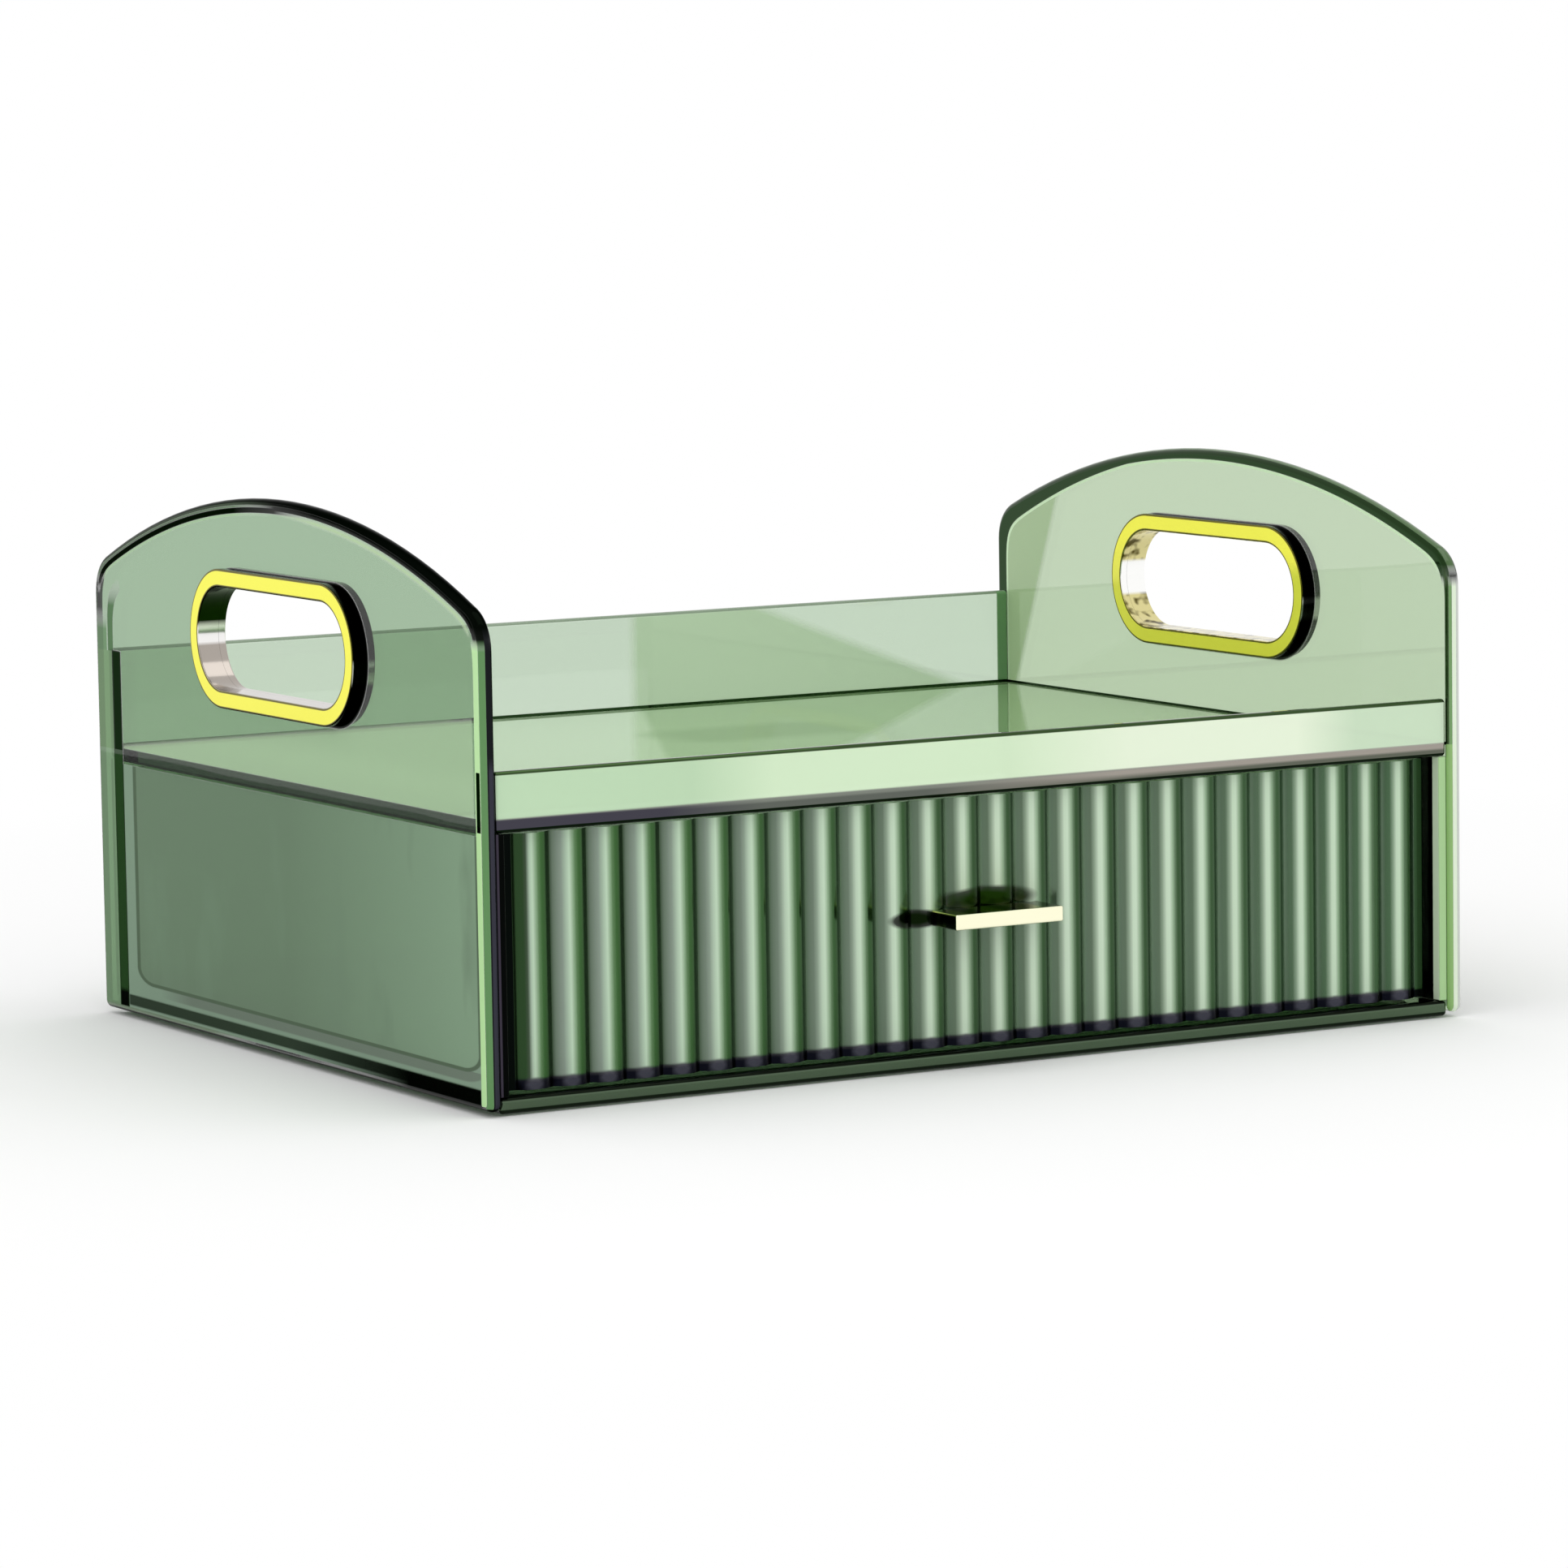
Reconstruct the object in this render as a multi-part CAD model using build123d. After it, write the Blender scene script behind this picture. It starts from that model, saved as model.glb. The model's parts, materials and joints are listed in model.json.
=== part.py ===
from build123d import *
import os

# Desktop storage box in clear green plastic: two arched side panels with gold-rimmed hand
# slots, an open top tray between them, and one full-width drawer with a fluted front.
# Millimetres. +Z is up, the front is towards -Y and +X is to the right of someone facing it.
# The origin lies on the surface that the box stands on, under the middle of its outline.

# Overall sizes
box_width = 310.0  # across the outer faces of the two side panels
panel_depth = 240.0  # side panel, front edge to back edge
panel_top = 154.9  # crown of the arch above the surface
bond_gap = 0.1  # bond line between fixed clear pieces
edge_round = 0.4  # small rounding on the edges of plates

# Side panels
panel_thickness = 4.2
panel_foot = 1.5  # lower edge of the panels above the surface
crown_rise = 25.1  # from the ends of the arch up to its crown
shoulder_radius = 12.0
foot_radius = 2.2
panel_edge_round = 2.0

# Hand slots and their gold rings
ring_length = 101.6
ring_height = 38.8
ring_band = 5.0  # width of the gold face
ring_lap = 0.6  # how far the gold face laps over the panel
ring_face_thickness = 2.2
ring_below_crown = 40.0  # middle of the slot below the crown of the arch
ring_fit = 0.15  # between the ring's sleeve and the slot in the panel
ring_edge_round = 0.35
ring_peg_diameter = 1.2
ring_peg_length = 2.0
ring_peg_fit = 0.1
ring_peg_spacing = 44.0  # along the straight runs of the ring

# Base
pad_stand = 0.5  # how far the soft pads stand below the base
pad_diameter = 12.0
pad_thickness = 1.5
pad_inset = 16.0  # pad centre from the sides of the base
base_thickness = 4.4
base_edge_round = 1.2
front_recess = 1.6  # front edges of the plates behind the panels' front edges
back_recess = 3.6  # back edges of the plates in front of the panels' back edges
rib_height = 0.6  # two ribs on the base that the drawer runs on
rib_width = 10.0
rib_spacing = 236.0
rib_end_margin = 14.0

# Casing and tray
inner_wall_thickness = 2.6
rear_panel_thickness = 2.6
shelf_top = 77.6
shelf_thickness = 3.4
fence_thickness = 3.0
fence_height = 12.8  # above the tray floor
back_wall_thickness = 3.0
back_wall_height = 28.4  # above the tray floor
tray_edge_round = 1.1  # on the edges of the fence and the back wall

# Drawer
drawer_side_gap = 1.8
drawer_top_gap = 0.8
drawer_run_gap = 0.3  # between the drawer and the ribs, and between the drawer and its stops
flute_recess = 5.0  # crests of the flutes behind the panels' front edges
flute_count = 26
flute_rise = 2.2
flute_margin = 3.0  # plain strip at each end of the fluted front
front_sheet = 2.0  # plate behind the valleys of the flutes
tub_wall = 2.0
tub_floor = 4.4
tub_corner_radius = 6.0
tub_bottom_round = 1.2  # outside, under the tub
tub_floor_cove = 3.0  # inside, round the floor
tub_side_inset = 0.8  # tub sides inside the ends of the fluted front
tub_top_gap = 2.4  # top of the tub below the shelf
rim_round = 0.5

# Drawer handle and its screws
handle_width = 34.0
handle_height = 4.2
handle_reach = 13.0  # from the crests of the flutes to the front of the bar
handle_lift = 1.7  # middle of the bar above the middle of the drawer front
handle_round = 0.5
handle_seat_gap = 0.05
screw_spacing = 20.0
screw_diameter = 3.0
screw_hole_fit = 0.2
screw_thread_fit = 0.05
screw_grip = 7.0  # depth of the screw in the bar
screw_head_diameter = 5.6
screw_head_height = 1.8
screw_slot_width = 0.8
screw_slot_length = 3.4
screw_slot_depth = 0.9

# Soft stops for the drawer
stop_diameter = 8.0
stop_thickness = 1.8
stop_round = 0.9
stop_spacing = 220.0
stop_height = 24.0  # above the base

# Places worked out from the sizes
handle_overhang = handle_reach - flute_recess
panel_front = -(panel_depth - handle_overhang) / 2
panel_back = panel_front + panel_depth
panel_middle = (panel_front + panel_back) / 2
panel_outer = box_width / 2
panel_inner = panel_outer - panel_thickness
bay_half = panel_inner - bond_gap  # half the width of what fits between the panels
plate_front = panel_front + front_recess
plate_back = panel_back - back_recess
ring_centre_height = panel_top - ring_below_crown

base_bottom = pad_stand
base_top = base_bottom + base_thickness
rib_top = base_top + rib_height
shelf_bottom = shelf_top - shelf_thickness
fence_top = shelf_top + fence_height
back_wall_top = shelf_top + back_wall_height

casing_half = bay_half - inner_wall_thickness  # half the width of the drawer's bay
casing_bottom = base_top + bond_gap
casing_top = shelf_bottom - bond_gap
rear_panel_front = plate_back - rear_panel_thickness

flute_crest = panel_front + flute_recess
flute_valley = flute_crest + flute_rise
front_back = flute_valley + front_sheet
drawer_half = casing_half - drawer_side_gap
drawer_bottom = rib_top + drawer_run_gap
drawer_top = shelf_bottom - drawer_top_gap
tub_half = drawer_half - tub_side_inset
tub_front = front_back + bond_gap
tub_back = rear_panel_front - bond_gap - stop_thickness - drawer_run_gap
tub_top = shelf_bottom - tub_top_gap
handle_front = flute_crest - handle_reach
handle_centre_height = (drawer_bottom + drawer_top) / 2 + handle_lift


def block(x_range, y_range, z_range):
    """A box between two values on each axis."""
    (x0, x1), (y0, y1), (z0, z1) = x_range, y_range, z_range
    centre = ((x0 + x1) / 2, (y0 + y1) / 2, (z0 + z1) / 2)
    return Pos(*centre) * Box(x1 - x0, y1 - y0, z1 - z0)


def plate(x_range, y_range, z_range, radius=edge_round):
    """A flat plate with rounded edges."""
    solid = block(x_range, y_range, z_range)
    return fillet(solid.edges(), radius)


def rod_along_y(diameter, x, z, y_start, y_end):
    """A cylinder along Y between two values."""
    turned = Rot(90, 0, 0) * Cylinder(diameter / 2, y_end - y_start)
    return Pos(x, (y_start + y_end) / 2, z) * turned


def rod_along_x(diameter, y, z, x_start, x_end):
    """A cylinder along X between two values."""
    turned = Rot(0, 90, 0) * Cylinder(diameter / 2, x_end - x_start)
    return Pos((x_start + x_end) / 2, y, z) * turned


def stadium(length, height, x_start, x_end):
    """A round-ended bar along Y, centred on the hand slot and extruded along X."""
    sheet = Plane.YZ.offset(x_start) * Pos(panel_middle, ring_centre_height) * SlotOverall(length, height)
    return extrude(sheet, amount=x_end - x_start)


def joined(pieces):
    """One node made of separate solids."""
    return Compound(children=list(pieces))


# Side panels: an arched outline with rounded shoulders, rounded all the way along its edges
def side_panel():
    """The left panel, whose outer face looks towards -X."""
    shoulder = panel_top - crown_rise
    front_foot = (panel_front, panel_foot)
    back_foot = (panel_back, panel_foot)
    front_shoulder = (panel_front, shoulder)
    back_shoulder = (panel_back, shoulder)
    crown = (panel_middle, panel_top)
    outline = Polyline(front_shoulder, front_foot, back_foot, back_shoulder)
    arch = ThreePointArc(back_shoulder, crown, front_shoulder)
    sheet = make_face([*outline.edges(), arch])
    shoulders = sheet.vertices().group_by(Axis.Y)[-1]
    sheet = fillet(shoulders, shoulder_radius)
    feet = sheet.vertices().group_by(Axis.Y)[0]
    sheet = fillet(feet, foot_radius)
    upright = Plane.YZ.offset(-panel_outer) * sheet
    solid = extrude(upright, amount=panel_thickness)
    rims = solid.edges().filter_by(lambda edge: edge.bounding_box().size.X < edge_round)
    solid = fillet(rims, panel_edge_round)
    slot_length = ring_length - 2 * ring_lap
    slot_height = ring_height - 2 * ring_lap
    reach = panel_outer + panel_thickness
    return solid - stadium(slot_length, slot_height, -reach, -panel_inner + panel_thickness)


# Gold rings: the outer half has the sleeve that lines the slot, and the inner half pegs into it
def ring_peg_places():
    """Centres of the pegs, along the middle of the sleeve's wall."""
    sleeve_wall = ring_band - ring_lap - ring_fit
    rise = ring_height / 2 - ring_band + sleeve_wall / 2
    for side in (-1, 1):
        for end in (-1, 1):
            yield (panel_middle + end * ring_peg_spacing / 2, ring_centre_height + side * rise)


def ring_face(x_start, x_end, shown):
    """The flat gold band, rounded along the side at x = shown."""
    band = stadium(ring_length, ring_height, x_start, x_end)
    bore_length = ring_length - 2 * ring_band
    bore_height = ring_height - 2 * ring_band
    band -= stadium(bore_length, bore_height, x_start, x_end)
    rims = band.edges().filter_by_position(Axis.X, shown, shown)
    return fillet(rims, ring_edge_round)


def ring_outer():
    """The half on the left panel's outer face, with its sleeve."""
    face_seat = -panel_outer - handle_seat_gap
    sleeve_end = -panel_inner
    shown = face_seat - ring_face_thickness
    inset = 2 * (ring_lap + ring_fit)
    sleeve = stadium(ring_length - inset, ring_height - inset, face_seat, sleeve_end)
    sleeve -= stadium(ring_length - 2 * ring_band, ring_height - 2 * ring_band, face_seat, sleeve_end)
    solid = ring_face(shown, face_seat, shown) + sleeve
    hole_depth = ring_peg_length + ring_peg_fit
    for y, z in ring_peg_places():
        solid -= rod_along_x(ring_peg_diameter + 2 * ring_peg_fit, y, z, sleeve_end - hole_depth, sleeve_end)
    return solid


def ring_inner():
    """The half on the left panel's inner face, with its pegs."""
    face_seat = -panel_inner + handle_seat_gap
    shown = face_seat + ring_face_thickness
    solid = ring_face(face_seat, shown, shown)
    for y, z in ring_peg_places():
        solid += rod_along_x(ring_peg_diameter, y, z, -panel_inner - ring_peg_length, face_seat)
    return solid


# Top tray: floor, low front fence and taller back wall
def tray_floor():
    front = plate_front + fence_thickness + bond_gap
    back = plate_back - back_wall_thickness - bond_gap
    return plate((-bay_half, bay_half), (front, back), (shelf_bottom, shelf_top))


def tray_fence():
    depth = (plate_front, plate_front + fence_thickness)
    return plate((-bay_half, bay_half), depth, (shelf_bottom, fence_top), tray_edge_round)


def tray_back_wall():
    depth = (plate_back - back_wall_thickness, plate_back)
    return plate((-bay_half, bay_half), depth, (shelf_bottom, back_wall_top), tray_edge_round)


# Drawer casing: side walls, rear panel and base
def inner_wall():
    """The left wall of the drawer's bay."""
    return plate((-bay_half, -casing_half), (plate_front, plate_back), (casing_bottom, casing_top))


def rear_casing_panel():
    half = casing_half - bond_gap
    return plate((-half, half), (rear_panel_front, plate_back), (casing_bottom, casing_top))


def pad_places():
    """Centres of the four soft pads under the base."""
    x = bay_half - pad_inset
    for side in (-1, 1):
        for y in (plate_front + pad_inset, plate_back - pad_inset):
            yield (side * x, y)


def base_plate():
    height = (base_bottom, base_top)
    solid = plate((-bay_half, bay_half), (plate_front, plate_back), height, base_edge_round)
    for side in (-1, 1):
        x = side * rib_spacing / 2
        rib = block(
            (x - rib_width / 2, x + rib_width / 2),
            (plate_front + rib_end_margin, rear_panel_front - rib_end_margin),
            (base_top, rib_top),
        )
        solid += rib
    sunk = pad_thickness - pad_stand
    for x, y in pad_places():
        pocket_height = sunk + handle_seat_gap
        pocket = Cylinder(pad_diameter / 2 + bond_gap, pocket_height)
        solid -= Pos(x, y, base_bottom + pocket_height / 2) * pocket
    return solid


def anti_slip_pads():
    pads = []
    for x, y in pad_places():
        pad = Pos(x, y, pad_thickness / 2) * Cylinder(pad_diameter / 2, pad_thickness)
        pads.append(fillet(pad.edges().group_by(Axis.Z)[0], pad_stand / 2))
    return joined(pads)


def drawer_stops():
    """Two soft bumpers on the rear panel, which the closed drawer meets."""
    seat = rear_panel_front - handle_seat_gap
    stops = []
    for side in (-1, 1):
        x = side * stop_spacing / 2
        stop = rod_along_y(stop_diameter, x, base_top + stop_height, seat - stop_thickness, seat)
        stops.append(fillet(stop.edges().group_by(Axis.Y)[0], stop_round))
    return joined(stops)


# Drawer: fluted front, tub, bar handle and its two screws
def screw_places():
    return [side * screw_spacing / 2 for side in (-1, 1)]


def drawer_front():
    """A plate whose outer face is a row of convex flutes."""
    fluted_half = drawer_half - flute_margin
    pitch = 2 * fluted_half / flute_count
    corners = (
        (-fluted_half, flute_valley),
        (-drawer_half, flute_valley),
        (-drawer_half, front_back),
        (drawer_half, front_back),
        (drawer_half, flute_valley),
        (fluted_half, flute_valley),
    )
    outline = [*Polyline(*corners).edges()]
    for index in range(flute_count):
        left = -fluted_half + index * pitch
        middle = left + pitch / 2
        right = left + pitch
        outline.append(ThreePointArc((left, flute_valley), (middle, flute_crest), (right, flute_valley)))
    sheet = Pos(0, 0, drawer_bottom) * make_face(outline)
    solid = extrude(sheet, amount=drawer_top - drawer_bottom)
    hole = screw_diameter + 2 * screw_hole_fit
    for x in screw_places():
        solid -= rod_along_y(hole, x, handle_centre_height, flute_crest, front_back)
    return solid


def rounded_block(x_half, y_range, z_range, corner, bottom):
    """A box with rounded upright edges and a rounded bottom edge."""
    solid = block((-x_half, x_half), y_range, z_range)
    solid = fillet(solid.edges().filter_by(Axis.Z), corner)
    return fillet(solid.edges().group_by(Axis.Z)[0], bottom)


def drawer_tub():
    """The moulded tray behind the fluted front, open at the top."""
    solid = rounded_block(
        tub_half,
        (tub_front, tub_back),
        (drawer_bottom, tub_top),
        tub_corner_radius,
        tub_bottom_round,
    )
    solid -= rounded_block(
        tub_half - tub_wall,
        (tub_front + tub_wall, tub_back - tub_wall),
        (drawer_bottom + tub_floor, tub_top),
        tub_corner_radius - tub_wall,
        tub_floor_cove,
    )
    solid = fillet(solid.edges().group_by(Axis.Z)[-1], rim_round)
    hole = screw_diameter + 2 * screw_hole_fit
    for x in screw_places():
        solid -= rod_along_y(hole, x, handle_centre_height, tub_front, tub_front + tub_wall)
    return solid


def drawer_handle():
    """A solid gold bar that stands off the crests of the flutes."""
    back = flute_crest - handle_seat_gap
    half_height = handle_height / 2
    solid = block(
        (-handle_width / 2, handle_width / 2),
        (handle_front, back),
        (handle_centre_height - half_height, handle_centre_height + half_height),
    )
    solid = fillet(solid.edges(), handle_round)
    hole = screw_diameter + 2 * screw_thread_fit
    for x in screw_places():
        solid -= rod_along_y(hole, x, handle_centre_height, back - screw_grip - screw_thread_fit, back)
    return solid


def drawer_handle_screws():
    """Two cross-head screws, driven from inside the tub into the bar."""
    head_seat = tub_front + tub_wall + handle_seat_gap
    head_end = head_seat + screw_head_height
    tip = flute_crest - handle_seat_gap - screw_grip
    z = handle_centre_height
    half_slot = screw_slot_length / 2
    half_width = screw_slot_width / 2
    slot_y = (head_end - screw_slot_depth, head_end)
    screws = []
    for x in screw_places():
        head = rod_along_y(screw_head_diameter, x, z, head_seat, head_end)
        head = fillet(head.edges().group_by(Axis.Y)[-1], screw_head_height / 2)
        head -= block((x - half_slot, x + half_slot), slot_y, (z - half_width, z + half_width))
        head -= block((x - half_width, x + half_width), slot_y, (z - half_slot, z + half_slot))
        screws.append(head + rod_along_y(screw_diameter, x, z, tip, head_seat))
    return joined(screws)


def both_sides(name, solid):
    """A left piece and its mirror image on the right."""
    return {"left_" + name: solid, "right_" + name: mirror(solid, about=Plane.YZ)}


nodes = {
    **both_sides("side_panel", side_panel()),
    **both_sides("ring_outer", ring_outer()),
    **both_sides("ring_inner", ring_inner()),
    **both_sides("inner_wall", inner_wall()),
    "tray_floor": tray_floor(),
    "tray_fence": tray_fence(),
    "tray_back_wall": tray_back_wall(),
    "rear_casing_panel": rear_casing_panel(),
    "base_plate": base_plate(),
    "anti_slip_pads": anti_slip_pads(),
    "drawer_stops": drawer_stops(),
    "drawer_front": drawer_front(),
    "drawer_tub": drawer_tub(),
    "drawer_handle": drawer_handle(),
    "drawer_handle_screws": drawer_handle_screws(),
}

os.makedirs("parts", exist_ok=True)
for node_name, node_shape in nodes.items():
    export_step(node_shape, "parts/" + node_name + ".step")
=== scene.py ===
import bpy
import json
import math
from mathutils import Matrix, Vector


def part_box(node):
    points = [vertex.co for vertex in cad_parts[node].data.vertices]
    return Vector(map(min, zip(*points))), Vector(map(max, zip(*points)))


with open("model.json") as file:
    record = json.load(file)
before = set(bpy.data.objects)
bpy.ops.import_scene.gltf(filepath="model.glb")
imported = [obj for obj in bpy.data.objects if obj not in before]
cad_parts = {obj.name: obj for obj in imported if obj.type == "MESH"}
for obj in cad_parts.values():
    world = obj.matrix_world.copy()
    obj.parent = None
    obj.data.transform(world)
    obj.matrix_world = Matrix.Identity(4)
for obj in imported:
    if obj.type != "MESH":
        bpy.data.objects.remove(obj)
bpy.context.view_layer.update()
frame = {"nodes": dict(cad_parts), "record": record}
nodes = frame["nodes"]

# Camera, fitted to the straight edges, the arches and the rings in the photograph
PHOTO_PIXELS = 1932
FOCAL_PIXELS = 8447.3
SENSOR_MM = 36.0
CAMERA_AZIMUTH = math.radians(-30.0)
CAMERA_ELEVATION = math.radians(6.40)
CAMERA_ROLL = math.radians(-0.90)
CAMERA_DISTANCE = 1.9304
CAMERA_NEAREST, CAMERA_FURTHEST = 0.05, 50.0
AIM_RIGHT = -0.0084  # aim point from the middle of the box, along X
AIM_BEHIND_FRONT = 0.0982  # aim point behind the panels' front edges
AIM_HEIGHT = 0.0688

# Clear plastic: light taken off on each metre of its way through, for red, green and blue
ABSORBED = (165.0, 105.0, 175.0)
LEFT_ABSORBED = (171.0, 114.0, 177.0)
RIGHT_ABSORBED = (124.0, 80.0, 150.0)
ABSORB_DENSITY = 400.0
PLASTIC_IOR = 1.49
LEFT_IOR = 1.2  # keeps the slanting view of the left panel from being veiled by gloss
LEFT_GLANCE = 0.5  # keeps the left panel's dark places dark in a slanting view
HAZE = 0.03  # share of light that the plastic scatters at its surface
LAMPLIGHT_PASSED = (0.96, 0.96, 0.96, 1.0)  # share that each surface lets through
WAVE_HEIGHT = 0.0004  # of the slight waves in the surface
WAVE_GRAIN, GLOSS_GRAIN = 14.0, 30.0  # scale of the noise in the waves and in the gloss
CLEAR_ROUGHNESS, CLEAR_WAVE = (0.0, 0.03), 0.25
FLUTED_ROUGHNESS, FLUTED_WAVE = (0.10, 0.16), 0.1
FLUTED_CLEAR = 0.12  # how clear the milky flutes are
GLOSS = 0.04  # light that the plastic mirrors, on top of its own colour
SOFT_LIGHT = 0.85  # light that falls on an upright face

# Floor, dark card, world and lamp
FLOOR_RADIUS = 12.0
FLOOR_CORNERS = 128
FLOOR_COLOUR = (0.96, 0.96, 0.96, 1.0)
FLOOR_NEAR, FLOOR_FAR = 0.30, 0.60  # it turns from matt to plain white between these distances
CARD_LEFT, CARD_RIGHT = -0.450, -0.158
CARD_LENGTH = 1.0
CARD_MIDDLE_Y = 0.36
CARD_HEIGHT = 0.001
CARD_GREYS = (0.004, 0.008)
WORLD_STRENGTH = 0.9
LAMP_PLACE = (0.0, -0.2, 1.2)
LAMP_AIM = (0, 0, 0.05)
LAMP_SIZE = (1.2, 0.8)
LAMP_WATTS = 3.0

# Gold
GOLD_DARK_REFLECTION = (12, 14, 6)  # painted dark reflection on its walls
GOLD_FACE = (1.0, 0.96, 0.07, 1.0)
# painted light: the upper half of a ring's face, lighter than the rest
GOLD_LIT_UPPER_FACE = (1.0, 0.97, 0.07, 1.0)
GOLD_BAR_FACE = (1.0, 0.98, 0.72, 1.0)
GOLD_ROUGHNESS = (0.08, 0.18)

WHITE = (1.0, 1.0, 1.0, 1.0)
MM = 0.001
MIX_SOCKETS = {"RGBA": (6, 7, 2), "FLOAT": (2, 3, 0)}  # a Mix node's inputs A and B, and output


def new_material(name):
    """A material with an empty node tree and its output node."""
    material = bpy.data.materials.new(name)
    material.use_nodes = True
    tree = material.node_tree
    tree.nodes.clear()
    output = tree.nodes.new("ShaderNodeOutputMaterial")
    return material, tree, output


def feed(tree, socket, value):
    """Set a socket to a number or colour, or link it to a node's output."""
    if isinstance(value, (tuple, float)):
        socket.default_value = value
    else:
        tree.links.new(value, socket)


def noise(tree, scale, detail=2.0, stretch=(1.0, 1.0, 1.0)):
    """A noise texture in the object's own coordinates, in metres."""
    coordinates = tree.nodes.new("ShaderNodeTexCoord")
    mapping = tree.nodes.new("ShaderNodeMapping")
    mapping.inputs["Scale"].default_value = stretch
    texture = tree.nodes.new("ShaderNodeTexNoise")
    texture.inputs["Scale"].default_value = scale
    texture.inputs["Detail"].default_value = detail
    tree.links.new(coordinates.outputs["Object"], mapping.inputs["Vector"])
    tree.links.new(mapping.outputs["Vector"], texture.inputs["Vector"])
    return texture.outputs["Fac"]


def ranged(tree, value, low, high, start=0.0, end=1.0):
    """A value between start and end spread, clamped, over another range."""
    node = tree.nodes.new("ShaderNodeMapRange")
    node.inputs["From Min"].default_value = start
    node.inputs["From Max"].default_value = end
    node.inputs["To Min"].default_value = low
    node.inputs["To Max"].default_value = high
    tree.links.new(value, node.inputs["Value"])
    return node.outputs["Result"]


def bump(tree, height, distance, strength):
    node = tree.nodes.new("ShaderNodeBump")
    node.inputs["Distance"].default_value = distance
    node.inputs["Strength"].default_value = strength
    tree.links.new(height, node.inputs["Height"])
    return node.outputs["Normal"]


def math_node(tree, operation, *values):
    node = tree.nodes.new("ShaderNodeMath")
    node.operation = operation
    for socket, value in zip(node.inputs, values):
        feed(tree, socket, value)
    return node.outputs[0]


def mixed(tree, mask, first, second, kind="RGBA"):
    """The second colour or value where the mask is 1, and the first where it is 0."""
    node = tree.nodes.new("ShaderNodeMix")
    node.data_type = kind
    tree.links.new(mask, node.inputs["Factor"])
    first_input, second_input, output = MIX_SOCKETS[kind]
    feed(tree, node.inputs[first_input], first)
    feed(tree, node.inputs[second_input], second)
    return node.outputs[output]


def mixed_shaders(tree, mask, first, second):
    """The second shader where the mask is 1, and the first where it is 0."""
    node = tree.nodes.new("ShaderNodeMixShader")
    tree.links.new(mask, node.inputs["Fac"])
    tree.links.new(first.outputs[0], node.inputs[1])
    tree.links.new(second.outputs[0], node.inputs[2])
    return node.outputs["Shader"]


def looked_at(tree):
    """1 where a ray from the camera, gloss or clear plastic looks, and 0 for the light given."""
    path = tree.nodes.new("ShaderNodeLightPath")
    seen = math_node(tree, "MAXIMUM", path.outputs["Is Camera Ray"], path.outputs["Is Glossy Ray"])
    return math_node(tree, "MAXIMUM", seen, path.outputs["Is Transmission Ray"])


class Spot:
    """Masks for one node tree, from where a point lies on its piece. Limits are in mm."""

    def __init__(self, tree):
        self.tree = tree
        coordinates = tree.nodes.new("ShaderNodeTexCoord")
        place = tree.nodes.new("ShaderNodeSeparateXYZ")
        facing = tree.nodes.new("ShaderNodeSeparateXYZ")
        tree.links.new(coordinates.outputs["Object"], place.inputs[0])
        tree.links.new(coordinates.outputs["Normal"], facing.inputs[0])
        self.x, self.y, self.z = place.outputs
        self.side = self.calc("ABSOLUTE", self.x)
        self.facing_side = self.calc("ABSOLUTE", facing.outputs[0])

    def calc(self, operation, *values):
        return math_node(self.tree, operation, *values)

    def slant(self, value, other, slope):
        """A value plus another one times a slope, for limits that run slantwise."""
        return self.calc("ADD", value, self.calc("MULTIPLY", other, slope))

    def squares(self, first, second):
        """The sum of two values' squares."""
        return self.calc("ADD", self.calc("MULTIPLY", first, first),
                         self.calc("MULTIPLY", second, second))

    def above(self, value, limit, soft=0.06):
        return ranged(self.tree, value, 0.0, 1.0, (limit - soft) * MM, (limit + soft) * MM)

    def below(self, value, limit, soft=0.06):
        return ranged(self.tree, value, 1.0, 0.0, (limit - soft) * MM, (limit + soft) * MM)

    def between(self, value, low, high, soft=0.06):
        return self.all(self.above(value, low, soft), self.below(value, high, soft))

    def all(self, *masks):
        result = masks[0]
        for mask in masks[1:]:
            result = self.calc("MULTIPLY", result, mask)
        return result

    def any(self, first, second):
        return self.calc("MAXIMUM", first, second)

    def no(self, mask):
        return self.calc("SUBTRACT", 1.0, mask)


def linear(value):
    value /= 255.0
    return value / 12.92 if value <= 0.04045 else ((value + 0.055) / 1.055) ** 2.4


def matt_paint(red, green, blue):
    """The colour that a matt place needs to be seen as this colour in the soft light: for milky
    places and for painted light and shade.
    """
    shares = ((linear(c) - GLOSS) / SOFT_LIGHT for c in (red, green, blue))
    return (*(min(max(share, 0.0), 1.0) for share in shares), 1.0)


def shaded(red, green, blue):
    """The same for a place on the lower left side, which mirrors the dark card alone."""
    return (*(linear(c) / SOFT_LIGHT for c in (red, green, blue)), 1.0)


def sheen(red, green, blue):
    """The colour that a mirroring place needs to be seen as this colour in the soft light: for
    painted reflections, glints, dark lines and shade.
    """
    return (*(linear(c) for c in (red, green, blue)), 1.0)


def paint(tree, shader, zones, colour, clear, metal=0.0):
    """Zones in their order: each has a mask, a colour, how clear and how mirroring it is.

    A soft edge passes through the darker mix, so that no pale seam shows round a dark zone.
    """
    spot = Spot(tree)
    for make_mask, zone_colour, zone_clear, zone_metal in zones:
        mask = make_mask(spot)
        first = ranged(tree, mask, 0.0, 1.0, 0.0, 0.5)
        last = ranged(tree, mask, 0.0, 1.0, 0.5, 1.0)
        if zone_metal == 0.0:
            first, last = last, first
        colour = mixed(tree, first, colour, zone_colour)
        clear = mixed(tree, first, clear, zone_clear, "FLOAT")
        metal = mixed(tree, last, metal, zone_metal, "FLOAT")
    feed(tree, shader.inputs["Base Color"], colour)
    feed(tree, shader.inputs["Transmission Weight"], clear)
    feed(tree, shader.inputs["Metallic"], metal)


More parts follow.
